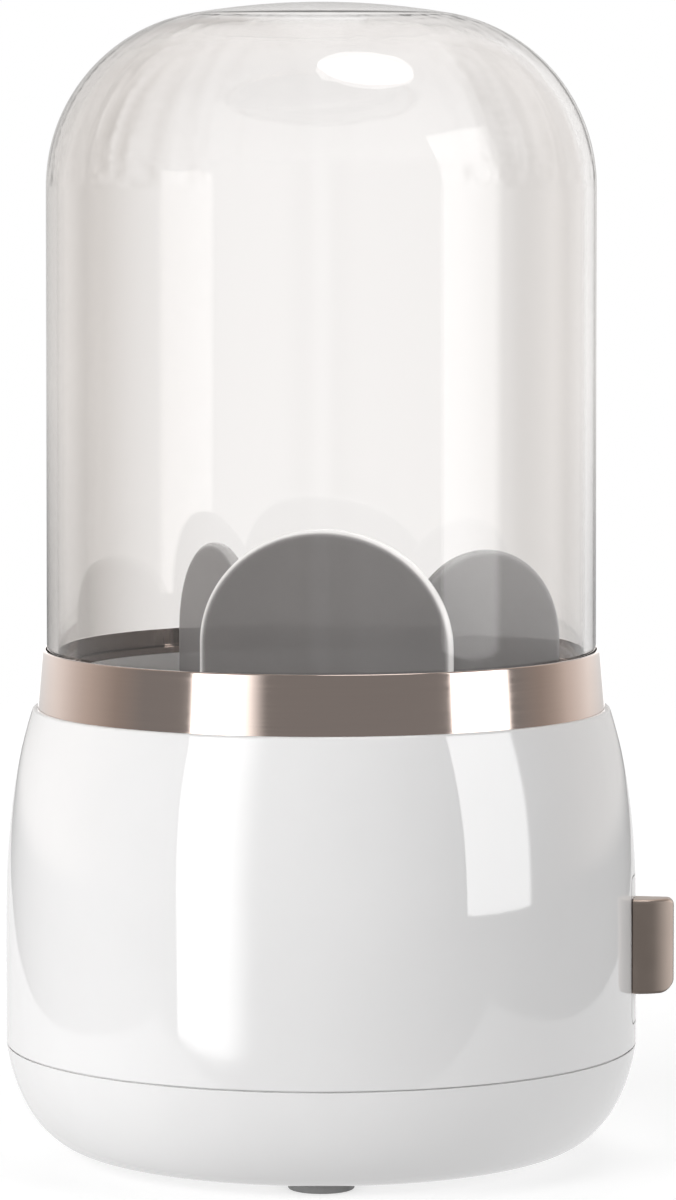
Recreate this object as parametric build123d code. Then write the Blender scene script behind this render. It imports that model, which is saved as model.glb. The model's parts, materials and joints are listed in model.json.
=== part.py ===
from build123d import *
import os
from math import asin, atan2, cos, degrees, radians, sin, sqrt

# Rotating makeup organizer, millimetres, +Z up. The origin lies on the turning axis at table height,
# -Y is the front and the drawer's pull tab is on the +X side.

# Barrel pot
BODY_R = 70.1
POT_WALL = 2.8
POT_LEAN = 6.0
POT_STRAIGHT_Z = 45.0
POT_TOP_Z = 99.6
LEAN_POWER = 3
LEAN_STEPS = 6
EDGE_ROUND = 0.7

# Base bowl, feet and the seam under the pot
SEAM_Z = 25.0
SEAM_GAP = 0.3
SEAM_EASE = 0.1
SEAM_LAND = 0.4
TONGUE_STEP = 0.1
TONGUE_H = 1.0
BASE_WALL = 2.6
BASE_INSET = 18.1
BASE_CORNER_RISE = 29.0
FOOT_H = 2.0
FOOT_R = 7.2
FOOT_EDGE = 7.5
FOOT_RECESS = 1.0
FOOT_EASE = 0.5

# Collar, neck and inner cup
RING_H = 13.0
RING_LEDGE = 1.0
RING_TAPER = 1.1
RING_LIP = 0.7
RING_REBATE = 4.0
RING_WEB = 1.4
RING_FIT = 0.1
NECK_WALL = 1.6
NECK_FIT = 0.2
CUP_WALL = 1.4
CUP_FLANGE_T = 1.4
CUP_FLOOR_Z = 72.0
CUP_FLOOR_T = 2.0
SEAT_STEP = 1.2

# Clear dome
DOME_TOP_Z = 256.0
DOME_WALL = 2.4
DOME_CLEAR = 0.3
CROWN_R = 167.0
SHOULDER_R = 38.9

# Lift-out divider
DIV_CLEAR = 0.6
DIV_FLOOR_T = 3.0
DIV_GROOVE = 1.5
DIV_TURN = -19.0
DIV_RISE = 0.4
PLATE_T = 2.6
PLATE_ROUND = 1.0
PLATE_FIT = 0.05
MID_HALF = 29.7
MID_SHIFT = 1.0
MID_RISE = 26.1
WING_STEP = 11.7
WING_RIM = 0.63
WING_DEG = 47.0
WING_RISE = 21.1
WING_GAP = 0.1

# Turntable and centre pivot
FLOOR_RAISE = 1.4
FLOOR_T = 3.0
FLOOR_CLEAR = 0.3
RACE_T = 3.0
RACE_GAP = 2.4
RACE_OUTER = 4.5
RACE_INNER = 13.0
RACE_SCREW_IN = 8.0
RACE_SCREWS = 3
BALL_R = 2.5
BALL_RING_INSET = 25.1
BALL_COUNT = 12
BALL_FIT = 0.1
CAGE_T = 1.2
CAGE_RIM = 3.6
CAGE_POCKET = 0.3
PEDESTAL_WALL = 3.5
POST_R = 8.0
POST_GAP = 0.5
BOLT_R = 4.0
BOLT_THREAD_R = 3.0
BOLT_HEAD_R = 7.5
BOLT_HEAD_H = 3.2
BOLT_PLAY = 0.2
BOLT_END = 2.0
BUSH_WALL = 2.0
RUN_FIT = 0.05
HUB_DROP = 8.4
HUB_WALL = 2.5
HUB_SINK = 5.0
SINK_CLEAR = 1.5
WASHER_T = 1.0
WASHER_CLEAR = 0.5

# Screws
SCREW_R = 1.5
SCREW_HEAD_R = 2.9
SCREW_HEAD_H = 1.8
SCREW_FIT = 0.05
SMALL_R = 1.0
SMALL_HEAD_R = 1.7
SMALL_HEAD_H = 1.6
DRIVE_SHARE = 0.6
DRIVE_W = 0.7
FLOOR_SCREW_L = 12.0
RACE_SCREW_L = 3.6
FLOOR_SCREW_DEG = (100.0, 160.0, 220.0, 280.0)
BOSS_R = 4.2
BOSS_H = 30.0
BOSS_INSET = 3.4

# Swing-out drawer
DRAWER_GAP = 0.4
DRAWER_DEG = -12.5
DRAWER_CORNER = 3.0
OPEN_RAISE = 0.8
OPEN_H = 33.0
PIVOT_DEG = 62.0
PIVOT_INSET = 8.1
HINGE_SEAT_R = 10.8
TRAY_WALL = 2.0
TRAY_FLOOR_T = 2.0
TRAY_CLEAR = 0.6
TRAY_DROP = 3.2
TRAY_REAR_DEG = 163.0
TRAY_LIFT = 0.3
PIN_R = 2.5
PIN_FOOT = 3.0
PIN_FOOT_WALL = 2.0
PIN_WASHER_T = 1.2
PIN_WASHER_RIM = 2.2
PIN_BUSH_WALL = 1.45
TRAY_BOSS_WALL = 2.0
CLIP_T = 0.8
CLIP_RIM = 1.7
CLIP_GAP = 0.2
PIN_TIP = 1.0
FRONT_SCREW_DEG = (10.0, 45.0)
FRONT_SCREW_INSET = 8.0
FRONT_SCREW_BITE = 1.9

# Pull tab
PULL_DEG = -10.0
PULL_OUT = 8.5
PULL_T = 7.5
PULL_SWEEP = 5.4
PULL_H = 20.9
PULL_Z = 47.9
PULL_ROUND_TOP = 1.6
PULL_ROUND_LOW = 2.9
PULL_EASE = 0.8
PULL_OVERLAP_GAP = 0.35
PULL_SCREW_DEG = -9.4
PULL_SCREW_Z = 46.0
PULL_SCREW_SPREAD = 5.0
PULL_SCREW_BITE = 5.0

# Drawer catch
CATCH_EDGE = 7.5
CATCH_Z = 41.0
CATCH_W = 9.0
CATCH_D = 6.0
CATCH_TOP = 5.0
MAGNET_R = 3.0
MAGNET_T = 2.0
CATCH_PLATE_R = 3.5
CATCH_PLATE_T = 1.0
CATCH_PROUD = 0.4
CATCH_GAP = 0.4

# Sizes that follow from the driving ones
POT_TOP_R = BODY_R - POT_LEAN
POT_IN_R = BODY_R - POT_WALL
POT_BOTTOM_Z = SEAM_Z + SEAM_GAP
RING_TOP_Z = POT_TOP_Z + RING_H
RING_LOW_R = POT_TOP_R - RING_LEDGE
RING_TOP_R = RING_LOW_R - RING_TAPER
REBATE_R = RING_TOP_R - RING_LIP
REBATE_Z = RING_TOP_Z - RING_REBATE
DOME_R = REBATE_R - DOME_CLEAR
CUP_R = DOME_R - DOME_WALL - SEAT_STEP
NECK_IN_R = CUP_R + CUP_WALL + NECK_FIT
NECK_R = NECK_IN_R + NECK_WALL
FLANGE_TOP_Z = REBATE_Z - RING_WEB
NECK_TOP_Z = FLANGE_TOP_Z - CUP_FLANGE_T
BASE_IN_Z = FOOT_H + BASE_WALL
BASE_FLAT_R = BODY_R - BASE_INSET
FOOT_RING_R = BASE_FLAT_R - FOOT_EDGE
BALL_RING_R = BODY_R - BALL_RING_INSET
FLOOR_Z = SEAM_Z + FLOOR_RAISE
FLOOR_TOP_Z = FLOOR_Z + FLOOR_T
FLOOR_R = POT_IN_R - FLOOR_CLEAR
UPPER_RACE_Z = FLOOR_Z - RACE_T
BALL_Z = UPPER_RACE_Z - RACE_GAP / 2
LOWER_RACE_Z = UPPER_RACE_Z - RACE_GAP - RACE_T
RACE_SCREW_R = BALL_RING_R - RACE_SCREW_IN
HUB_Z = FLOOR_Z - HUB_DROP
POST_TOP_Z = HUB_Z - POST_GAP
SINK_Z = FLOOR_TOP_Z - HUB_SINK
SINK_R = BOLT_HEAD_R + SINK_CLEAR
BUSH_IN_R = BOLT_R + RUN_FIT
BUSH_R = BUSH_IN_R + BUSH_WALL
HEAD_Z = SINK_Z + WASHER_T + BOLT_PLAY
BOSS_RING_R = FLOOR_R - BOSS_INSET
OPEN_Z = FLOOR_TOP_Z + OPEN_RAISE
OPEN_TOP_Z = OPEN_Z + OPEN_H
PIVOT_R = BODY_R - PIVOT_INSET
TRAY_Z = FLOOR_TOP_Z + PIN_WASHER_T + TRAY_LIFT
TRAY_TOP_Z = OPEN_TOP_Z - TRAY_DROP
PIN_BUSH_IN_R = PIN_R + RUN_FIT
PIN_BUSH_R = PIN_BUSH_IN_R + PIN_BUSH_WALL
TRAY_BOSS_R = PIN_BUSH_R + TRAY_BOSS_WALL
CLIP_Z = TRAY_TOP_Z + CLIP_GAP
DIV_R = CUP_R - DIV_CLEAR
WING_U = MID_HALF - WING_STEP
DIV_TOP_Z = CUP_FLOOR_Z + DIV_FLOOR_T
DIV_SPRING_Z = RING_TOP_Z + DIV_RISE
FAR = 4 * BODY_R
LOW = (Align.CENTER, Align.CENTER, Align.MIN)


def polar(radius, angle):
    return radius * cos(radians(angle)), radius * sin(radians(angle))


PIVOT = polar(PIVOT_R, PIVOT_DEG)
CORNER_SPAN = radians(PIVOT_DEG - DRAWER_DEG) - DRAWER_CORNER / POT_IN_R
TRAY_REACH = (
    sqrt(POT_IN_R**2 + PIVOT_R**2 - 2 * POT_IN_R * PIVOT_R * cos(CORNER_SPAN)) - TRAY_CLEAR
)
CATCH_AT = TRAY_REACH - CATCH_EDGE


def outline(*points):
    """Closed straight-sided section from (radius, height) points."""
    return make_face(Polyline(*points, close=True))


def turned(section):
    """Solid of revolution about the turning axis."""
    return revolve(Plane.XZ * section, Axis.Z)


def collar(r_in, r_out, z0, z1):
    return turned(outline((r_in, z0), (r_out, z0), (r_out, z1), (r_in, z1)))


def rod(radius, z0, z1, at=(0, 0)):
    return Pos(at[0], at[1], z0) * Cylinder(radius, z1 - z0, align=LOW)


def radial_rod(radius, angle, z, r0, r1):
    return Rot(0, 0, angle) * Pos(r0, 0, z) * Rot(0, 90, 0) * Cylinder(radius, r1 - r0, align=LOW)


def prism(plan, z0, z1):
    return extrude(Pos(0, 0, z0) * plan, z1 - z0)


def screw(radius, length, head_r, head_h):
    """Pan screw standing on its head, with a cross recess in the head's face."""
    body = rod(head_r, 0, head_h) + rod(radius, head_h, head_h + length)
    for angle in (0, 90):
        body -= Rot(0, 0, angle) * Box(2 * head_r * DRIVE_SHARE, DRIVE_W, head_h)
    return body


def barrel_radius(z, inset):
    rise = max(0.0, z - POT_STRAIGHT_Z) / (POT_TOP_Z - POT_STRAIGHT_Z)
    return BODY_R - inset - POT_LEAN * rise**LEAN_POWER


def barrel_curve(inset, z_end):
    """The barrel's side above its straight stretch, leaning in with the cube of the height."""
    step = (z_end - POT_STRAIGHT_Z) / LEAN_STEPS
    heights = [POT_STRAIGHT_Z + step * i for i in range(LEAN_STEPS + 1)]
    share = (z_end - POT_STRAIGHT_Z) / (POT_TOP_Z - POT_STRAIGHT_Z)
    slope = -LEAN_POWER * POT_LEAN * share ** (LEAN_POWER - 1) / (POT_TOP_Z - POT_STRAIGHT_Z)
    points = [(barrel_radius(z, inset), z) for z in heights]
    return Spline(*points, tangents=[(0, 1), (slope, 1)])


def barrel():
    """Barrel wall with its shoulder and neck, open at the bottom and at the neck."""
    under_z = POT_TOP_Z - POT_WALL
    outer = barrel_curve(0, POT_TOP_Z)
    inner = barrel_curve(POT_WALL, under_z)
    section = make_face(
        [
            Line((BODY_R, POT_BOTTOM_Z), (BODY_R, POT_STRAIGHT_Z)),
            outer,
            Polyline(
                (POT_TOP_R, POT_TOP_Z),
                (NECK_R, POT_TOP_Z),
                (NECK_R, NECK_TOP_Z),
                (NECK_IN_R, NECK_TOP_Z),
                (NECK_IN_R, under_z),
                (barrel_radius(under_z, POT_WALL), under_z),
            ),
            inner,
            Polyline(
                (POT_IN_R, POT_STRAIGHT_Z),
                (POT_IN_R, POT_BOTTOM_Z + POT_WALL - SEAM_LAND),
                (BODY_R - SEAM_LAND, POT_BOTTOM_Z),
                (BODY_R, POT_BOTTOM_Z),
            ),
        ]
    )
    wall = turned(section)
    wall = fillet(rim_edges(wall, POT_TOP_R, POT_TOP_Z), EDGE_ROUND)
    return chamfer(rim_edges(wall, BODY_R, POT_BOTTOM_Z), SEAM_EASE)


def rim_edges(solid, radius, z):
    """Circular edges of one radius about the turning axis at one height."""
    rims = solid.edges().filter_by(GeomType.CIRCLE)
    level = rims.filter_by(lambda edge: abs(edge.arc_center.Z - z) < RUN_FIT)
    return level.filter_by(lambda edge: abs(edge.radius - radius) < RUN_FIT)


def sector(start, end):
    """Wedge about the turning axis, longer than any radius of the part."""
    angles = (start, (start + end) / 2, end)
    return make_face(Polyline((0, 0), *[polar(FAR, angle) for angle in angles], close=True))


def drawer_block(gap):
    """Wedge of the drawer front, ending in a round about the pivot, drawn in by the gap."""
    near = DRAWER_DEG + degrees(gap / BODY_R)
    plan = sector(near, PIVOT_DEG) + Pos(*PIVOT) * Circle(HINGE_SEAT_R - gap)
    block = prism(plan, OPEN_Z + gap, OPEN_TOP_Z - gap)
    corners = block.edges().filter_by(Axis((0, 0, 0), (*polar(1, near), 0)))
    return fillet(corners, DRAWER_CORNER - gap)


def pot_shell():
    shell = barrel()
    for angle in FLOOR_SCREW_DEG:
        at = polar(BOSS_RING_R, angle)
        shell += rod(BOSS_R, FLOOR_TOP_Z, FLOOR_TOP_Z + BOSS_H, at)
        shell -= rod(SCREW_R + SCREW_FIT, FLOOR_TOP_Z, FLOOR_TOP_Z + FLOOR_SCREW_L, at)
    return shell - drawer_block(0)


def base_shell():
    """Bowl whose rim carries a sloped tongue that closes the seam behind the pot's edge."""
    centre_z = FOOT_H + BASE_CORNER_RISE
    drop = asin((centre_z - SEAM_Z) / BASE_CORNER_RISE)
    width = BASE_INSET / cos(drop)
    rise_in = BASE_CORNER_RISE - BASE_WALL
    drop_in = asin((centre_z - SEAM_Z) / rise_in)
    centre = (BASE_FLAT_R, centre_z)
    tongue_r = BODY_R - SEAM_LAND - TONGUE_STEP
    tongue_z = SEAM_Z + TONGUE_H
    outer = EllipticalCenterArc(centre, width, BASE_CORNER_RISE, 270, arc_size=90 - degrees(drop))
    inner = EllipticalCenterArc(centre, width - BASE_WALL, rise_in, 270, arc_size=90 - degrees(drop_in))
    section = make_face(
        [
            Line((0, FOOT_H), (BASE_FLAT_R, FOOT_H)),
            outer,
            Polyline(
                outer @ 1,
                (tongue_r, SEAM_Z),
                (tongue_r - TONGUE_H, tongue_z),
                ((inner @ 1).X, tongue_z),
                inner @ 1,
            ),
            inner,
            Polyline((BASE_FLAT_R, BASE_IN_Z), (0, BASE_IN_Z), (0, FOOT_H)),
        ]
    )
    shell = turned(section)
    shell = chamfer(rim_edges(shell, BODY_R, SEAM_Z), SEAM_EASE)
    race_r = BALL_RING_R + RACE_OUTER
    shell += collar(race_r - PEDESTAL_WALL, race_r, BASE_IN_Z, LOWER_RACE_Z)
    shell += collar(
        RACE_SCREW_R - PEDESTAL_WALL, RACE_SCREW_R + PEDESTAL_WALL, BASE_IN_Z, LOWER_RACE_Z
    )
    shell += rod(POST_R, BASE_IN_Z, POST_TOP_Z)
    shell -= rod(BOLT_THREAD_R + SCREW_FIT, BASE_IN_Z + BOLT_END, POST_TOP_Z)
    for at in race_screw_places():
        shell -= rod(SCREW_R + SCREW_FIT, LOWER_RACE_Z - RACE_SCREW_L, LOWER_RACE_Z, at)
    for at in foot_places().values():
        shell -= rod(FOOT_R, FOOT_H, FOOT_H + FOOT_RECESS, at)
    return shell


def foot_places():
    sides = {"front": -90, "right": 0, "back": 90, "left": 180}
    return {side: polar(FOOT_RING_R, angle) for side, angle in sides.items()}


def rubber_foot(at):
    foot = rod(FOOT_R, 0, FOOT_H + FOOT_RECESS, at)
    return fillet(foot.edges().group_by(Axis.Z)[0], FOOT_EASE)


def race_screw_places():
    return [polar(RACE_SCREW_R, 360 * i / RACE_SCREWS) for i in range(RACE_SCREWS)]


def race(z0, head_z):
    """One hardened ring with half of the ball track; screw heads are sunk from head_z upwards."""
    ring = collar(BALL_RING_R - RACE_INNER, BALL_RING_R + RACE_OUTER, z0, z0 + RACE_T)
    ring -= Pos(0, 0, BALL_Z) * Torus(BALL_RING_R, BALL_R + BALL_FIT)
    for at in race_screw_places():
        ring -= rod(SCREW_R + SCREW_FIT, z0, z0 + RACE_T, at)
        ring -= rod(SCREW_HEAD_R + SCREW_FIT, head_z, head_z + SCREW_HEAD_H, at)
    return ring


def race_screws(head_face, upward):
    """Screws of one race: heads flush with the face towards the balls."""
    turn = Rot(0, 0, 0) if upward else Rot(180, 0, 0)
    body = screw(SCREW_R, RACE_SCREW_L, SCREW_HEAD_R, SCREW_HEAD_H)
    return Compound([Pos(x, y, head_face) * turn * body for x, y in race_screw_places()])


def ball_places():
    return [polar(BALL_RING_R, 360 * i / BALL_COUNT) for i in range(BALL_COUNT)]


def ball_cage():
    r_in = BALL_RING_R - CAGE_RIM
    cage = collar(r_in, BALL_RING_R + CAGE_RIM, BALL_Z - CAGE_T / 2, BALL_Z + CAGE_T / 2)
    for at in ball_places():
        cage -= rod(BALL_R + CAGE_POCKET, BALL_Z - CAGE_T, BALL_Z + CAGE_T, at)
    return cage


def bearing_balls():
    return Compound([Pos(x, y, BALL_Z) * Sphere(BALL_R) for x, y in ball_places()])


def pivot_bolt():
    bolt = rod(BOLT_THREAD_R, BASE_IN_Z + BOLT_END, POST_TOP_Z)
    bolt += rod(BOLT_R, POST_TOP_Z, HEAD_Z)
    head = rod(BOLT_HEAD_R, HEAD_Z, HEAD_Z + BOLT_HEAD_H)
    socket = extrude(Pos(0, 0, HEAD_Z + BOLT_HEAD_H) * RegularPolygon(BOLT_R, 6), -BOLT_HEAD_H / 2)
    return bolt + head - socket


def pot_floor():
    """Floor plate of the drawer room: centre hub, drawer pin foot, catch block and screw holes."""
    floor = rod(FLOOR_R, FLOOR_Z, FLOOR_TOP_Z) + rod(SINK_R + HUB_WALL, HUB_Z, FLOOR_Z)
    floor += rod(PIN_R + PIN_FOOT_WALL, FLOOR_Z - PIN_FOOT, FLOOR_Z, PIVOT)
    floor -= rod(SINK_R, SINK_Z, FLOOR_TOP_Z) + rod(BUSH_R, HUB_Z, SINK_Z)
    floor -= rod(PIN_R, FLOOR_Z - PIN_FOOT, FLOOR_TOP_Z, PIVOT)
    for angle in FLOOR_SCREW_DEG:
        at = polar(BOSS_RING_R, angle)
        floor -= rod(SCREW_R + SCREW_FIT, FLOOR_Z, FLOOR_TOP_Z, at)
        floor -= rod(SCREW_HEAD_R + SCREW_FIT, FLOOR_Z, FLOOR_Z + SCREW_HEAD_H, at)
    for at in race_screw_places():
        floor -= rod(SCREW_R + SCREW_FIT, FLOOR_Z, FLOOR_Z + RACE_SCREW_L - RACE_T + SCREW_HEAD_H, at)
    face = -(CATCH_PROUD + CATCH_GAP)
    height = CATCH_Z + CATCH_TOP - FLOOR_TOP_Z
    block = Pos(CATCH_AT, face - CATCH_D / 2, FLOOR_TOP_Z) * Box(CATCH_W, CATCH_D, height, align=LOW)
    return floor + rear_frame() * block - magnet()


def rear_frame():
    """Frame at the drawer pivot, X along the tray's rear wall and Y into the tray."""
    return Pos(*PIVOT) * Rot(0, 0, PIVOT_DEG + TRAY_REAR_DEG)


def magnet():
    face = -(CATCH_PROUD + CATCH_GAP)
    body = Rot(90, 0, 0) * Cylinder(MAGNET_R, MAGNET_T, align=LOW)
    return rear_frame() * Pos(CATCH_AT, face, CATCH_Z) * body


def catch_plate():
    body = Rot(90, 0, 0) * Cylinder(CATCH_PLATE_R, CATCH_PLATE_T, align=LOW)
    return rear_frame() * Pos(CATCH_AT, CATCH_PLATE_T - CATCH_PROUD, CATCH_Z) * body


def floor_screws():
    body = screw(SCREW_R, FLOOR_T - SCREW_HEAD_H + FLOOR_SCREW_L, SCREW_HEAD_R, SCREW_HEAD_H)
    places = [polar(BOSS_RING_R, angle) for angle in FLOOR_SCREW_DEG]
    return Compound([Pos(x, y, FLOOR_Z) * body for x, y in places])


def inner_cup():
    """Straight liner that hangs in the neck by its flange."""
    out_r = CUP_R + CUP_WALL
    section = outline(
        (0, CUP_FLOOR_Z - CUP_FLOOR_T),
        (out_r, CUP_FLOOR_Z - CUP_FLOOR_T),
        (out_r, NECK_TOP_Z),
        (NECK_R, NECK_TOP_Z),
        (NECK_R, FLANGE_TOP_Z),
        (CUP_R, FLANGE_TOP_Z),
        (CUP_R, CUP_FLOOR_Z),
        (0, CUP_FLOOR_Z),
    )
    return turned(section)


def trim_ring():
    """Tapered collar: a skirt over the neck, a web on the cup's flange and a rebate for the dome."""
    skirt_r = NECK_R + RING_FIT
    section = outline(
        (skirt_r, POT_TOP_Z),
        (RING_LOW_R, POT_TOP_Z),
        (RING_TOP_R, RING_TOP_Z),
        (REBATE_R, RING_TOP_Z),
        (REBATE_R, REBATE_Z),
        (CUP_R, REBATE_Z),
        (CUP_R, FLANGE_TOP_Z),
        (skirt_r, FLANGE_TOP_Z),
    )
    ring = turned(section)
    return fillet(rim_edges(ring, RING_TOP_R, RING_TOP_Z), RING_LIP / 2)


def dome_section_edges(inset):
    """One face of the dome: straight side, round shoulder and shallow crown."""
    centre_r = DOME_R - SHOULDER_R
    crown_z = DOME_TOP_Z - CROWN_R
    shoulder_z = crown_z + sqrt((CROWN_R - SHOULDER_R) ** 2 - centre_r**2)
    lean = degrees(atan2(shoulder_z - crown_z, centre_r))
    return [
        Line((DOME_R - inset, REBATE_Z), (DOME_R - inset, shoulder_z)),
        CenterArc((centre_r, shoulder_z), SHOULDER_R - inset, 0, lean),
        CenterArc((0, crown_z), CROWN_R - inset, lean, 90 - lean),
    ]


def dome_cover():
    foot = Line((DOME_R - DOME_WALL, REBATE_Z), (DOME_R, REBATE_Z))
    crown = Line((0, DOME_TOP_Z), (0, DOME_TOP_Z - DOME_WALL))
    return turned(make_face([*dome_section_edges(0), crown, *dome_section_edges(DOME_WALL), foot]))


def wing_place(side):
    """Half width and place of a wing plate, which runs from the middle plate to the rim."""
    lean = radians(WING_DEG)
    foot_u = WING_U + side * MID_SHIFT
    foot_v = PLATE_T / 2 * (1 + cos(lean)) + WING_GAP
    along = foot_u * cos(lean) + foot_v * sin(lean)
    to_rim = sqrt((DIV_R - WING_RIM) ** 2 - foot_u**2 - foot_v**2 + along**2) - along
    half = to_rim / 2
    at = Pos(side * (foot_u + half * cos(lean)), foot_v + half * sin(lean))
    return half, Rot(0, 0, DIV_TURN) * at * Rot(0, 0, side * WING_DEG)


def plate_places():
    """Half width, rise of the arch and place of each divider plate."""
    right_half, right = wing_place(1)
    left_half, left = wing_place(-1)
    return {
        "divider_mid": (MID_HALF, MID_RISE, Rot(0, 0, DIV_TURN) * Pos(MID_SHIFT, 0)),
        "divider_right": (right_half, WING_RISE, right),
        "divider_left": (left_half, WING_RISE, left),
    }


def divider_plate(half, rise):
    """Upright plate with an arched top and rounded edges."""
    foot_z = DIV_TOP_Z - DIV_GROOVE
    side = Polyline((-half, DIV_SPRING_Z), (-half, foot_z), (half, foot_z), (half, DIV_SPRING_Z))
    arch = make_face([side, EllipticalCenterArc((0, DIV_SPRING_Z), half, rise, 0, arc_size=180)])
    plate = extrude(Plane.XZ * arch, PLATE_T / 2, both=True)
    faces = plate.faces().filter_by(Axis.Y)
    edges = faces.edges().filter_by(lambda edge: edge.center().Z > foot_z + PLATE_T)
    return fillet(edges, PLATE_ROUND)


def divider_floor():
    disc = rod(DIV_R, CUP_FLOOR_Z, DIV_TOP_Z)
    for half, rise, place in plate_places().values():
        slot = Box(2 * (half + PLATE_FIT), PLATE_T + 2 * PLATE_FIT, 2 * DIV_GROOVE)
        disc -= place * Pos(0, 0, DIV_TOP_Z) * slot
    return disc


def tray_plan(inset):
    """Tray outline: inside the barrel, within reach of the pivot and ahead of the rear wall."""
    ahead = rear_frame() * Pos(0, inset + FAR / 2) * Rectangle(2 * FAR, FAR)
    return Circle(POT_IN_R - inset) & Pos(*PIVOT) * Circle(TRAY_REACH - inset) & ahead


def drawer_tray():
    tray = prism(tray_plan(0), TRAY_Z, TRAY_TOP_Z)
    tray -= prism(tray_plan(TRAY_WALL), TRAY_Z + TRAY_FLOOR_T, TRAY_TOP_Z)
    tray += rod(TRAY_BOSS_R, TRAY_Z, TRAY_TOP_Z, PIVOT) & rod(POT_IN_R, TRAY_Z, TRAY_TOP_Z)
    tray -= rod(PIN_BUSH_R, TRAY_Z, TRAY_TOP_Z, PIVOT)
    seat_r = POT_IN_R - TRAY_WALL
    for angle, z in front_screw_places():
        tray -= radial_rod(SMALL_R + SCREW_FIT, angle, z, seat_r, POT_IN_R)
        tray -= radial_rod(SMALL_HEAD_R + SCREW_FIT, angle, z, seat_r - SMALL_HEAD_H, seat_r)
    return tray - catch_plate()


def front_screw_places():
    heights = (TRAY_Z + FRONT_SCREW_INSET, TRAY_TOP_Z - FRONT_SCREW_INSET)
    return [(angle, z) for angle in FRONT_SCREW_DEG for z in heights]


def pull_screw_places():
    return [(PULL_SCREW_DEG, PULL_SCREW_Z + side * PULL_SCREW_SPREAD) for side in (-1, 1)]


def drawer_front():
    front = barrel() & drawer_block(DRAWER_GAP)
    front -= rod(POT_IN_R, OPEN_Z, OPEN_TOP_Z)
    for angle, z in front_screw_places():
        front -= radial_rod(SMALL_R + SCREW_FIT, angle, z, 0, POT_IN_R + FRONT_SCREW_BITE)
    for angle, z in pull_screw_places():
        front -= radial_rod(SMALL_R + SCREW_FIT, angle, z, 0, BODY_R)
        front -= radial_rod(SMALL_HEAD_R + SCREW_FIT, angle, z, 0, POT_IN_R + SMALL_HEAD_H)
    return front


def small_screws(places, head_r0, tip_r):
    """Radial screws with their heads towards the turning axis."""
    body = screw(SMALL_R, tip_r - head_r0 - SMALL_HEAD_H, SMALL_HEAD_R, SMALL_HEAD_H)
    turn = Rot(0, 90, 0)
    return Compound([Rot(0, 0, angle) * Pos(head_r0, 0, z) * turn * body for angle, z in places])


def pull_block():
    """Tab before it is fitted: its near face sweeps back to a thin rounded tip."""
    root = BODY_R - PULL_OUT
    tip = BODY_R + PULL_OUT
    near = -PULL_T / 2
    sweep = TangentArc((BODY_R, near), (tip, near + PULL_SWEEP), tangent=(1, 0))
    far_side = Polyline((tip, near + PULL_SWEEP), (tip, -near), (root, -near), (root, near))
    plan = make_face([Line((root, near), (BODY_R, near)), sweep, far_side])
    side = Pos(BODY_R, PULL_Z) * Rectangle(2 * PULL_OUT, PULL_H)
    side = fillet(side.vertices().group_by(Axis.X)[-1].sort_by(Axis.Y)[0], PULL_ROUND_LOW)
    side = fillet(side.vertices().sort_by(Axis.X)[-2:].sort_by(Axis.Y)[-1], PULL_ROUND_TOP)
    tab = prism(plan, PULL_Z - PULL_H, PULL_Z + PULL_H) & extrude(Plane.XZ * side, PULL_T, both=True)
    rims = tab.edges() - tab.edges().filter_by(Axis.Y)
    return fillet(rims.filter_by(lambda edge: edge.center().X > BODY_R + RUN_FIT), PULL_EASE)


def drawer_pull():
    """Tab on the drawer front; its near edge overlaps the fixed wall with a running gap."""
    tab = Rot(0, 0, PULL_DEG) * pull_block()
    over = sector(DRAWER_DEG - PIVOT_DEG, DRAWER_DEG + 2 * degrees(DRAWER_GAP / BODY_R))
    tab -= rod(BODY_R, 0, FAR)
    tab -= rod(BODY_R + PULL_OVERLAP_GAP, 0, FAR) & prism(over, 0, FAR)
    for angle, z in pull_screw_places():
        tab -= radial_rod(SMALL_R + SCREW_FIT, angle, z, 0, BODY_R + PULL_SCREW_BITE)
    return tab


def drawer_pin():
    return rod(PIN_R, FLOOR_Z - PIN_FOOT, CLIP_Z + CLIP_T + PIN_TIP, PIVOT)


def pivot_collar(r_in, r_out, z0, z1):
    return Pos(*PIVOT) * collar(r_in, r_out, z0, z1)


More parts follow.
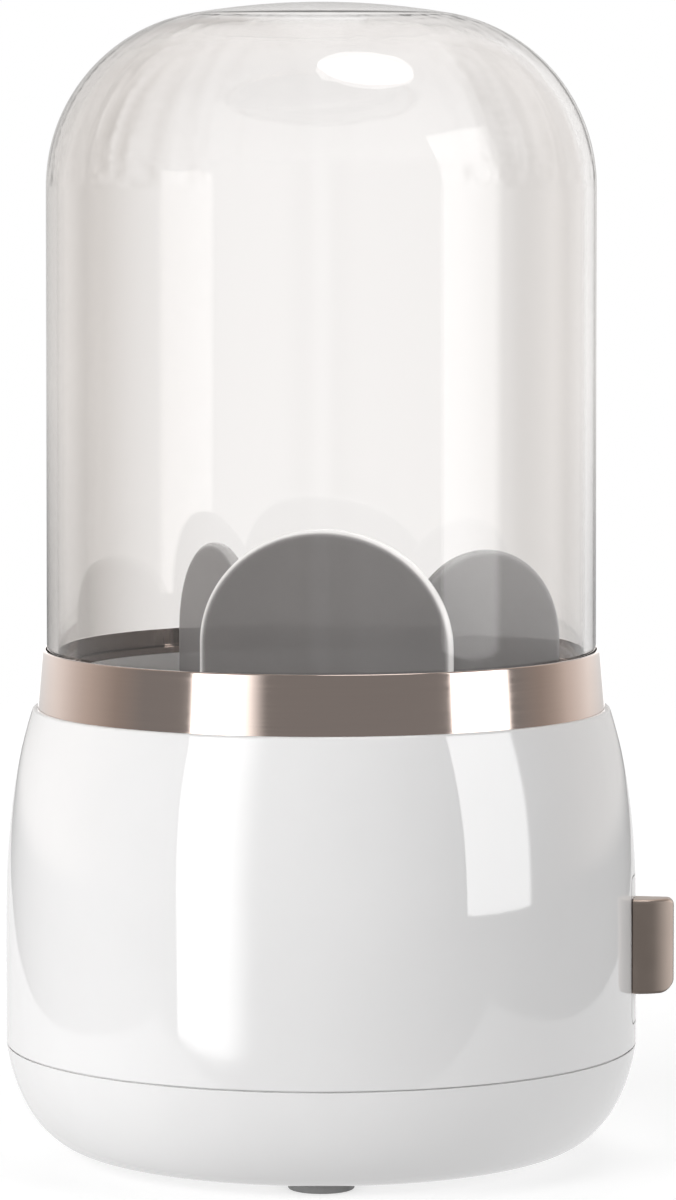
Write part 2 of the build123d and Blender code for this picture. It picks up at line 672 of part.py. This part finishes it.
def subparts():
    nodes = {
        "base_shell": base_shell(),
        "lower_race": race(LOWER_RACE_Z, LOWER_RACE_Z + RACE_T - SCREW_HEAD_H),
        "lower_race_screws": race_screws(LOWER_RACE_Z + RACE_T, False),
        "pivot_bolt": pivot_bolt(),
        "ball_cage": ball_cage(),
        "bearing_balls": bearing_balls(),
        "pot_shell": pot_shell(),
        "pot_floor": pot_floor(),
        "floor_screws": floor_screws(),
        "upper_race": race(UPPER_RACE_Z, UPPER_RACE_Z),
        "upper_race_screws": race_screws(UPPER_RACE_Z, True),
        "pivot_bushing": collar(BUSH_IN_R, BUSH_R, HUB_Z, SINK_Z),
        "pivot_washer": collar(BUSH_IN_R, SINK_R - WASHER_CLEAR, SINK_Z, SINK_Z + WASHER_T),
        "inner_cup": inner_cup(),
        "trim_ring": trim_ring(),
        "drawer_pin": drawer_pin(),
        "pin_washer": pivot_collar(
            PIN_R, PIN_R + PIN_WASHER_RIM, FLOOR_TOP_Z, FLOOR_TOP_Z + PIN_WASHER_T
        ),
        "pin_clip": pivot_collar(PIN_R, PIN_R + CLIP_RIM, CLIP_Z, CLIP_Z + CLIP_T),
        "catch_magnet": magnet(),
        "divider_floor": divider_floor(),
        "drawer_tray": drawer_tray(),
        "drawer_front": drawer_front(),
        "drawer_pull": drawer_pull(),
        "drawer_bushing": pivot_collar(PIN_BUSH_IN_R, PIN_BUSH_R, TRAY_Z, TRAY_TOP_Z),
        "catch_plate": catch_plate(),
        "pull_screws": small_screws(pull_screw_places(), POT_IN_R, BODY_R + PULL_SCREW_BITE),
        "front_screws": small_screws(
            front_screw_places(), POT_IN_R - TRAY_WALL - SMALL_HEAD_H, POT_IN_R + FRONT_SCREW_BITE
        ),
        "dome_cover": dome_cover(),
    }
    for side, at in foot_places().items():
        nodes[f"foot_{side}"] = rubber_foot(at)
    for name, (half, rise, place) in plate_places().items():
        nodes[name] = place * divider_plate(half, rise)
    return nodes


os.makedirs("parts", exist_ok=True)
for name, solid in subparts().items():
    export_step(solid, f"parts/{name}.step")
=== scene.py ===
import bpy
import json
from math import cos, pi, radians, sin
from mathutils import Euler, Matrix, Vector


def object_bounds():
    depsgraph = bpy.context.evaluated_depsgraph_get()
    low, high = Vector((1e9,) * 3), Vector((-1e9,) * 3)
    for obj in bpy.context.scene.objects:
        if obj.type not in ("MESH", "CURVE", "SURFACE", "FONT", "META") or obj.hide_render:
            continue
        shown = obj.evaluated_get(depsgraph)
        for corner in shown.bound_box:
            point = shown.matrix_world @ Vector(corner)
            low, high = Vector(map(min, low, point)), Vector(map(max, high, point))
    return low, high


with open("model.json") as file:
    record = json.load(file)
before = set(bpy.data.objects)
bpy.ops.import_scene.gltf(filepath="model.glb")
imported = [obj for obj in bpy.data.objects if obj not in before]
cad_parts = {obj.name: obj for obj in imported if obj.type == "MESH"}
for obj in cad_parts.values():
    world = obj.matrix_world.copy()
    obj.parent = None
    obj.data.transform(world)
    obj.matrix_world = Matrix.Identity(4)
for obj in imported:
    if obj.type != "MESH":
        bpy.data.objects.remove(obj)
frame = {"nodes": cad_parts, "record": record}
cad_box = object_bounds()

# Camera, in pixels of the 676 x 1200 picture, degrees and metres; the sensor is in millimetres
PHOTO_W = 676
PHOTO_H = 1200
FOCAL_PX = 5511.7
PITCH_DEG = 2.607
AXIS_PX = 321.3
CAMERA_DISTANCE = 1.2226
CAMERA_Z = 0.227
SENSOR = 36.0
SHIFT_Y = -0.18

# Floor, which fades into the white ground between two distances from the middle, in metres
FLOOR_SIZE = 3.0
FLOOR_COLOUR = (0.50, 0.50, 0.50, 1)
FLOOR_ROUGHNESS = 0.9
FLOOR_GLOW = 0.60
FLOOR_FADE = (0.35, 1.0)

# Table top that shows in the polish: its left, right, front and back edge in metres, and its radiance
TABLE_EDGES = (-0.255, 0.28, -0.185, 0.9)
TABLE_GLOW = 0.60

# Room that shows in the polish: the way the stops run, from the camera's side to the far side
WHITE = (1, 1, 1, 1)
ROOM_LEAN = (-0.08, 1.0, 0.0)
ROOM_STOPS = (
    (0.42, (0.340, 0.340, 0.340, 1)),
    (0.55, (0.470, 0.425, 0.395, 1)),
    (0.70, (0.780, 0.710, 0.660, 1)),
    (0.86, (0.850, 0.810, 0.780, 1)),
    (1.00, (0.700, 0.690, 0.680, 1)),
)

# Grey below the room and the ambient light: a fade lies between two heights of a direction, -1 to 1
UNDER_GREY = (0.26, 0.26, 0.26, 1)
UNDER_FADE = (-0.085, -0.045)
AMBIENT_LOW = 0.66
AMBIENT_UP = 0.06
AMBIENT_FADE = (-0.35, -0.2)

# Ground that shows through the dome, from left to right
ACROSS = (1, 0, 0)
BEHIND_STOPS = (
    (0.40, (0.73, 0.71, 0.69, 1)),
    (0.4375, (0.56, 0.54, 0.52, 1)),
    (0.452, (0.70, 0.68, 0.66, 1)),
    (0.467, (0.87, 0.86, 0.85, 1)),
    (0.485, (1.00, 1.00, 1.00, 1)),
    (0.522, (1.00, 1.00, 1.00, 1)),
    (0.540, (0.76, 0.75, 0.74, 1)),
    (0.560, (0.88, 0.87, 0.86, 1)),
    (0.580, (0.75, 0.74, 0.73, 1)),
    (0.650, (1.05, 1.05, 1.05, 1)),
)

# Lights stand at one distance from the object, in metres. Azimuths are in degrees as seen from the object,
# 0 towards the camera and positive to the right. A collar glow has an azimuth, a radiance and a soft edge.
LIGHT_DISTANCE = 1.6
COLLAR_GLOWS = (
    (-150, 0.58, (1.0, 0.45)),
    (150, 0.52, (0.0, 0.55)),
)

# Plastic, metal and rubber: two linear colours for the low and the high end of the noise between them
NOISE_BAND = (0.3, 0.7)
WHITE_SHELL = ((0.80, 0.795, 0.795, 1), (0.83, 0.825, 0.825, 1))
WHITE_INNER = ((0.74, 0.735, 0.73, 1), (0.79, 0.785, 0.78, 1))
TAUPE = ((0.522, 0.436, 0.395, 1), (0.538, 0.449, 0.405, 1))
SATIN_TAUPE = ((0.465, 0.385, 0.335, 1), (0.495, 0.41, 0.36, 1))
GREY = ((0.16, 0.155, 0.155, 1), (0.19, 0.185, 0.185, 1))
FOOT_GREY = ((0.20, 0.20, 0.20, 1), (0.27, 0.27, 0.27, 1))
STEEL = ((0.52, 0.52, 0.53, 1), (0.62, 0.62, 0.63, 1))
BRASS = ((0.58, 0.42, 0.17, 1), (0.68, 0.50, 0.22, 1))
SHELL_IOR = 1.53
SHELL_SPECULAR = 0.75

# Clear plastic: its tint seen straight on and edge on
DOME_TINT = ((0.978, 0.967, 0.960, 1), (0.89, 0.872, 0.86, 1))
DOME_IOR = 1.49

# Plates of the divider: the turn of each about the axis in degrees, and the colour of the painted highlight
# on its edge.
# The edge's normal is rounded over a width in metres, and the painted highlight begins where the normal
# leaves the plate's own direction.
RIM_HIGHLIGHT_FACING = (0.99, 0.92)
RIM_HIGHLIGHT_BEVEL = 0.0020
PLATE_TURNS_AND_RIM_HIGHLIGHTS = {
    # Painted highlight colours: the middle plate's rim is painted brightest, the other two darker.
    "divider_mid": (-19.0, (0.80, 0.80, 0.80, 1)),
    "divider_right": (28.0, (0.32, 0.32, 0.32, 1)),
    "divider_left": (-66.0, (0.38, 0.38, 0.38, 1)),
}


def node_tree(name):
    """New material with one principled shader; gives the material, its tree and the shader."""
    material = bpy.data.materials.new(name)
    material.use_nodes = True
    tree = material.node_tree
    return material, tree, tree.nodes["Principled BSDF"]


def noise(tree, scale, stretch=(1, 1, 1), detail=4):
    """Noise in the part's own frame, drawn out along the axes with a small stretch."""
    place = tree.nodes.new("ShaderNodeTexCoord")
    mapping = tree.nodes.new("ShaderNodeMapping")
    mapping.inputs["Scale"].default_value = stretch
    texture = tree.nodes.new("ShaderNodeTexNoise")
    texture.inputs["Scale"].default_value = scale
    texture.inputs["Detail"].default_value = detail
    tree.links.new(place.outputs["Object"], mapping.inputs["Vector"])
    tree.links.new(mapping.outputs["Vector"], texture.inputs["Vector"])
    return texture.outputs["Fac"]


def colour_between(tree, shader, factor, colours):
    """Base colour that goes from one colour to the other with the noise."""
    ramp = tree.nodes.new("ShaderNodeValToRGB")
    for element, at, colour in zip(ramp.color_ramp.elements, NOISE_BAND, colours):
        element.position = at
        element.color = colour
    tree.links.new(factor, ramp.inputs["Fac"])
    tree.links.new(ramp.outputs["Color"], shader.inputs["Base Color"])


def roughness_between(tree, shader, factor, low, high):
    """Roughness that goes from low to high with the noise."""
    span = tree.nodes.new("ShaderNodeMapRange")
    span.inputs["From Min"].default_value, span.inputs["From Max"].default_value = NOISE_BAND
    span.inputs["To Min"].default_value = low
    span.inputs["To Max"].default_value = high
    tree.links.new(factor, span.inputs["Value"])
    tree.links.new(span.outputs["Result"], shader.inputs["Roughness"])


def relief(tree, shader, factor, depth, strength):
    """Surface grain, with its depth in metres."""
    bump = tree.nodes.new("ShaderNodeBump")
    bump.inputs["Distance"].default_value = depth
    bump.inputs["Strength"].default_value = strength
    tree.links.new(factor, bump.inputs["Height"])
    tree.links.new(bump.outputs["Normal"], shader.inputs["Normal"])


def gloss_white():
    """Polished white moulding: faint flow clouds and a very shallow orange peel."""
    material, tree, shader = node_tree("gloss_white")
    colour_between(tree, shader, noise(tree, scale=25), WHITE_SHELL)
    roughness_between(tree, shader, noise(tree, scale=90), low=0.03, high=0.05)
    relief(tree, shader, noise(tree, scale=260, detail=2), depth=0.00002, strength=0.15)
    shader.inputs["IOR"].default_value = SHELL_IOR
    shader.inputs["Specular IOR Level"].default_value = SHELL_SPECULAR
    return material


def plain_white():
    """Inner mouldings with a fine spark-eroded grain."""
    material, tree, shader = node_tree("plain_white")
    colour_between(tree, shader, noise(tree, scale=40), WHITE_INNER)
    grain = noise(tree, scale=2200, detail=6)
    roughness_between(tree, shader, grain, low=0.32, high=0.5)
    relief(tree, shader, grain, depth=0.00004, strength=0.35)
    return material


def polished_taupe():
    """Collar: anodised taupe metal, polished, with a fine grain around it."""
    material, tree, shader = node_tree("polished_taupe")
    shader.inputs["Metallic"].default_value = 1.0
    grain = noise(tree, scale=2600, stretch=(0.02, 0.02, 1), detail=6)
    colour_between(tree, shader, grain, TAUPE)
    roughness_between(tree, shader, grain, low=0.07, high=0.11)
    relief(tree, shader, grain, depth=0.000002, strength=0.05)
    return material


def satin_taupe():
    """Pull tab: the collar's metal with a blasted satin face instead of a grain."""
    material, tree, shader = node_tree("satin_taupe")
    shader.inputs["Metallic"].default_value = 1.0
    colour_between(tree, shader, noise(tree, scale=150), SATIN_TAUPE)
    roughness_between(tree, shader, noise(tree, scale=300), low=0.28, high=0.32)
    return material


def gloss_grey(name="gloss_grey"):
    """Polished grey moulding of the divider."""
    material, tree, shader = node_tree(name)
    colour_between(tree, shader, noise(tree, scale=30), GREY)
    roughness_between(tree, shader, noise(tree, scale=120), low=0.06, high=0.12)
    relief(tree, shader, noise(tree, scale=300, detail=2), depth=0.00002, strength=0.15)
    return material


def plate_with_painted_rim_highlight(name, turn, pale):
    """Grey plate whose rounded edge carries a painted highlight: a paler colour than its two faces, standing
    in for light caught by the edge.
    """
    material = gloss_grey(name)
    tree = material.node_tree
    shader = tree.nodes["Principled BSDF"]
    body = shader.inputs["Base Color"].links[0].from_socket
    # Painted highlight: the base colour is mixed towards the pale colour where the bevelled normal turns
    # away from the plate's faces.
    bevel = tree.nodes.new("ShaderNodeBevel")
    bevel.inputs["Radius"].default_value = RIM_HIGHLIGHT_BEVEL
    to_part = tree.nodes.new("ShaderNodeVectorTransform")
    to_part.vector_type = "NORMAL"
    to_part.convert_from = "WORLD"
    to_part.convert_to = "OBJECT"
    facing = tree.nodes.new("ShaderNodeVectorMath")
    facing.operation = "DOT_PRODUCT"
    facing.inputs[1].default_value = (-sin(radians(turn)), cos(radians(turn)), 0)
    either = tree.nodes.new("ShaderNodeMath")
    either.operation = "ABSOLUTE"
    edge = tree.nodes.new("ShaderNodeMapRange")
    edge.inputs["From Min"].default_value, edge.inputs["From Max"].default_value = RIM_HIGHLIGHT_FACING
    rim_highlight_mix = tree.nodes.new("ShaderNodeMix")
    rim_highlight_mix.data_type = "RGBA"
    rim_highlight_mix.inputs["B"].default_value = pale
    tree.links.new(bevel.outputs["Normal"], to_part.inputs["Vector"])
    tree.links.new(to_part.outputs["Vector"], facing.inputs[0])
    tree.links.new(facing.outputs["Value"], either.inputs[0])
    tree.links.new(either.outputs["Value"], edge.inputs["Value"])
    tree.links.new(edge.outputs["Result"], rim_highlight_mix.inputs["Factor"])
    tree.links.new(body, rim_highlight_mix.inputs["A"])
    tree.links.new(rim_highlight_mix.outputs["Result"], shader.inputs["Base Color"])
    return material


def clear_plastic():
    """Clear moulded dome with polishing haze, its warm tint deepening where the wall is seen edge on."""
    material, tree, shader = node_tree("clear_plastic")
    edge = tree.nodes.new("ShaderNodeLayerWeight")
    edge.inputs["Blend"].default_value = 0.5
    tint = tree.nodes.new("ShaderNodeMix")
    tint.data_type = "RGBA"
    tint.inputs["A"].default_value, tint.inputs["B"].default_value = DOME_TINT
    tree.links.new(edge.outputs["Facing"], tint.inputs["Factor"])
    tree.links.new(tint.outputs["Result"], shader.inputs["Base Color"])
    shader.inputs["Transmission Weight"].default_value = 1.0
    shader.inputs["IOR"].default_value = DOME_IOR
    roughness_between(tree, shader, noise(tree, scale=60), low=0.0, high=0.03)
    relief(tree, shader, noise(tree, scale=35, detail=1), depth=0.00004, strength=0.1)
    return material


def foot_rubber():
    """Matte grey rubber with a coarse skin."""
    material, tree, shader = node_tree("foot_rubber")
    grain = noise(tree, scale=1500, detail=6)
    colour_between(tree, shader, noise(tree, scale=200), FOOT_GREY)
    roughness_between(tree, shader, grain, low=0.6, high=0.8)
    relief(tree, shader, grain, depth=0.00005, strength=0.5)
    return material


def turned_metal(name, colours, low, high):
    """Bright hardware with a fine turned grain."""
    material, tree, shader = node_tree(name)
    shader.inputs["Metallic"].default_value = 1.0
    grain = noise(tree, scale=1200, stretch=(0.1, 0.1, 1), detail=6)
    colour_between(tree, shader, grain, colours)
    roughness_between(tree, shader, grain, low, high)
    relief(tree, shader, grain, depth=0.00001, strength=0.25)
    return material


def finishes():
    """One finish for each material slot of the record."""
    return {
        "white_gloss": gloss_white(),
        "white_inner": plain_white(),
        "taupe_metal": polished_taupe(),
        "grey_gloss": gloss_grey(),
        "clear_dome": clear_plastic(),
        "foot_rubber": foot_rubber(),
        "steel": turned_metal("zinc_steel", STEEL, low=0.22, high=0.36),
        "bush_brass": turned_metal("turned_brass", BRASS, low=0.2, high=0.34),
    }


def dress():
    """Gives each CAD node the finish of its material slot, or its own kind of that finish."""
    by_slot = finishes()
    own = {node: plate_with_painted_rim_highlight(node + "_grey", *plate) for node, plate in PLATE_TURNS_AND_RIM_HIGHLIGHTS.items()}
    own["drawer_pull"] = satin_taupe()
    for row in frame["record"]["subparts"]:
        piece = frame["nodes"][row["node"]]
        piece.data.materials.clear()
        piece.data.materials.append(own.get(row["node"]) or by_slot[row["material_slot"]])
    frame["nodes"]["dome_cover"].visible_shadow = False


def floor():
    """Pale floor that neither reflections nor bounced light see, faded into the white ground around it."""
    bpy.ops.mesh.primitive_plane_add(size=FLOOR_SIZE)
    plane = bpy.context.object
    plane.name = "floor"
    material, tree, shader = node_tree("floor_paint")
    shader.inputs["Base Color"].default_value = FLOOR_COLOUR
    shader.inputs["Roughness"].default_value = FLOOR_ROUGHNESS
    shader.inputs["Specular IOR Level"].default_value = 0.0
    shader.inputs["Emission Color"].default_value = WHITE
    shader.inputs["Emission Strength"].default_value = FLOOR_GLOW
    place = tree.nodes.new("ShaderNodeTexCoord")
    away = tree.nodes.new("ShaderNodeVectorMath")
    away.operation = "LENGTH"
    fade = tree.nodes.new("ShaderNodeMapRange")
    fade.interpolation_type = "SMOOTHSTEP"
    fade.inputs["From Min"].default_value, fade.inputs["From Max"].default_value = FLOOR_FADE
    fade.inputs["To Min"].default_value = 1
    fade.inputs["To Max"].default_value = 0
    tree.links.new(place.outputs["Object"], away.inputs[0])
    tree.links.new(away.outputs["Value"], fade.inputs["Value"])
    tree.links.new(fade.outputs["Result"], shader.inputs["Alpha"])
    plane.data.materials.append(material)
    plane.visible_glossy = False
    plane.visible_diffuse = False
    plane.visible_shadow = False


def table_glow():
    """Bright table top that only reflections see; its front and left edges show in the polished pot."""
    left, right, front, back = TABLE_EDGES
    light = bpy.data.lights.new("table_glow", "AREA")
    light.shape = "RECTANGLE"
    light.size = right - left
    light.size_y = back - front
    light.energy = TABLE_GLOW * pi * light.size * light.size_y
    panel = bpy.data.objects.new("table_glow", light)
    panel.location = ((left + right) / 2, (front + back) / 2, 0)
    panel.rotation_euler = Euler((pi, 0, 0))
    panel.visible_camera = False
    panel.visible_diffuse = False
    panel.visible_transmission = False
    bpy.context.scene.collection.objects.link(panel)
    return panel


def softbox(name, azimuth, elevation, width, height, radiance, shape="RECTANGLE", soft=None, mirrored=True):
    """Area light that faces the object's middle; radiance is what a mirror would show of it.

    soft gives the two shares of the width between which the panel fades in from one side.
    A panel that isn't mirrored lights the object without showing in its polish.
    """
    turn = radians(azimuth)
    rise = radians(elevation)
    low, high = cad_box
    target = (low + high) / 2
    away = Vector((sin(turn) * cos(rise), -cos(turn) * cos(rise), sin(rise)))
    light = bpy.data.lights.new(name, "AREA")
    light.shape = shape
    light.size = width
    light.size_y = height
    area = width * height * (pi / 4 if shape == "DISK" else 1)
    light.energy = radiance * pi * area
    if soft:
        soft_edge(light, soft)
    box = bpy.data.objects.new(name, light)
    box.location = target + away * LIGHT_DISTANCE
    box.rotation_mode = "QUATERNION"
    box.rotation_quaternion = away.to_track_quat("Z", "Y")
    box.visible_camera = False
    box.visible_glossy = mirrored
    box.visible_transmission = mirrored
    bpy.context.scene.collection.objects.link(box)
    return box


def link_light(light, nodes, state):
    """Keeps a light off some pieces, or on those pieces alone."""
    group = bpy.data.collections.new(light.name + "_pieces")
    for node in nodes:
        group.objects.link(frame["nodes"][node])
    light.light_linking.receiver_collection = group
    for member in group.collection_objects:
        member.light_linking.link_state = state


def soft_edge(light, shares):
    """Fades a panel in across its width, between two shares of it."""
    light.use_nodes = True
    tree = light.node_tree
    place = tree.nodes.new("ShaderNodeNewGeometry")
    split = tree.nodes.new("ShaderNodeSeparateXYZ")
    fade = tree.nodes.new("ShaderNodeMapRange")
    fade.interpolation_type = "SMOOTHSTEP"
    fade.inputs["From Min"].default_value, fade.inputs["From Max"].default_value = shares
    tree.links.new(place.outputs["Parametric"], split.inputs["Vector"])
    tree.links.new(split.outputs["X"], fade.inputs["Value"])
    tree.links.new(fade.outputs["Result"], tree.nodes["Emission"].inputs["Strength"])


def background(tree, colour):
    """World shader of one colour."""
    node = tree.nodes.new("ShaderNodeBackground")
    node.inputs["Color"].default_value = colour
    return node


def height_fade(tree, place, heights, low, high):
    """Value that goes from low to high between two heights of the world's directions."""
    split = tree.nodes.new("ShaderNodeSeparateXYZ")
    fade = tree.nodes.new("ShaderNodeMapRange")
    fade.inputs["From Min"].default_value, fade.inputs["From Max"].default_value = heights
    fade.inputs["To Min"].default_value = low
    fade.inputs["To Max"].default_value = high
    tree.links.new(place.outputs["Generated"], split.inputs["Vector"])
    tree.links.new(split.outputs["Z"], fade.inputs["Value"])
    return fade.outputs["Result"]


def direction_ramp(tree, place, along, stops):
    """Background that goes through the stops from one side of a direction to the other."""
    dot = tree.nodes.new("ShaderNodeVectorMath")
    dot.operation = "DOT_PRODUCT"
    dot.inputs[1].default_value = along
    span = tree.nodes.new("ShaderNodeMapRange")
    span.inputs["From Min"].default_value = -1
    ramp = tree.nodes.new("ShaderNodeValToRGB")
    elements = ramp.color_ramp.elements
    while len(elements) < len(stops):
        elements.new(0.5)
    for element, (at, colour) in zip(elements, stops):
        element.position = at
        element.color = colour
    node = background(tree, WHITE)
    tree.links.new(place.outputs["Generated"], dot.inputs[0])
    tree.links.new(dot.outputs["Value"], span.inputs["Value"])
    tree.links.new(span.outputs["Result"], ramp.inputs["Fac"])
    tree.links.new(ramp.outputs["Color"], node.inputs["Color"])
    return node


def studio_world():
    """Room seen in the polish, dim in front and below; ambient light; and the picture's own white ground."""
    world = bpy.data.worlds.new("studio")
    bpy.context.scene.world = world
    world.use_nodes = True
    tree = world.node_tree
    tree.nodes.clear()
    link = tree.links.new
    place = tree.nodes.new("ShaderNodeTexCoord")
    around = direction_ramp(tree, place, ROOM_LEAN, ROOM_STOPS)
    under = background(tree, UNDER_GREY)
    ambient = background(tree, WHITE)
    link(height_fade(tree, place, AMBIENT_FADE, AMBIENT_LOW, AMBIENT_UP), ambient.inputs["Strength"])
    through = direction_ramp(tree, place, ACROSS, BEHIND_STOPS)
    plain = background(tree, WHITE)
    path = tree.nodes.new("ShaderNodeLightPath")
    last = around
    for factor, other in (
        (height_fade(tree, place, UNDER_FADE, 1, 0), under),
        (path.outputs["Is Diffuse Ray"], ambient),
        (path.outputs["Is Transmission Ray"], through),
        (path.outputs["Is Camera Ray"], plain),
    ):
        mix = tree.nodes.new("ShaderNodeMixShader")
        link(factor, mix.inputs["Fac"])
        link(last.outputs[0], mix.inputs[1])
        link(other.outputs[0], mix.inputs[2])
        last = mix
    out = tree.nodes.new("ShaderNodeOutputWorld")
    link(last.outputs[0], out.inputs["Surface"])


def lights():
    """Two boxes, a disc and a table top that show in the polish, glows for single pieces, and plain fills.

    The dome shows a paler box of its own in place of the two.
    """
    left = softbox(
        "left_box", azimuth=-34.5, elevation=10.5, width=1.07, height=1.35, radiance=3.5, soft=(0.867, 0.448)
    )
    right = softbox(
        "right_box", azimuth=67, elevation=9.6, width=0.84, height=0.975, radiance=3.7, soft=(1.0, 0.9)
    )
    pale = softbox(
        "pale_box", azimuth=65.5, elevation=14, width=0.87, height=1.15, radiance=1.4, soft=(1.0, 0.86)
    )
    glow = softbox(
        "tab_glow", azimuth=85, elevation=-5, width=3.4, height=1.6, radiance=0.8, soft=(0.05, 0.75)
    )
    for azimuth, radiance, soft in COLLAR_GLOWS:
        collar = softbox(
            "collar_glow", azimuth, elevation=3, width=3.2, height=1.0, radiance=radiance, soft=soft
        )
        link_light(collar, ["trim_ring"], "INCLUDE")
    link_light(table_glow(), ["drawer_pull"], "EXCLUDE")
    link_light(left, ["dome_cover"], "EXCLUDE")
    link_light(right, ["dome_cover", "drawer_pull"], "EXCLUDE")
    link_light(pale, ["dome_cover"], "INCLUDE")
    link_light(glow, ["drawer_pull"], "INCLUDE")
    softbox("top_disc", azimuth=65, elevation=77, width=0.74, height=0.74, radiance=3.0, shape="DISK")
    softbox("left_fill", azimuth=-58, elevation=18, width=1.2, height=1.2, radiance=3.75, mirrored=False)
    softbox("right_fill", azimuth=65, elevation=20, width=0.8, height=0.8, radiance=1.6, mirrored=False)
    softbox("back_fill", azimuth=180, elevation=25, width=1.4, height=1.4, radiance=2.5, mirrored=False)


def camera():
    """Camera of the photograph: part of the picture's drop below the horizon is pitch, the rest is shift."""
    data = bpy.data.cameras.new("camera")
    data.sensor_width = SENSOR
    data.lens = FOCAL_PX / PHOTO_H * SENSOR
    data.shift_x = (PHOTO_W / 2 - AXIS_PX) / PHOTO_H
    data.shift_y = SHIFT_Y
    eye = bpy.data.objects.new("camera", data)
    eye.location = (0, -CAMERA_DISTANCE, CAMERA_Z)
    eye.rotation_euler = Euler((pi / 2 - radians(PITCH_DEG), 0, 0))
    bpy.context.scene.collection.objects.link(eye)
    bpy.context.scene.camera = eye


dress()
floor()
studio_world()
lights()
camera()
bpy.context.scene.view_settings.view_transform = "Standard"
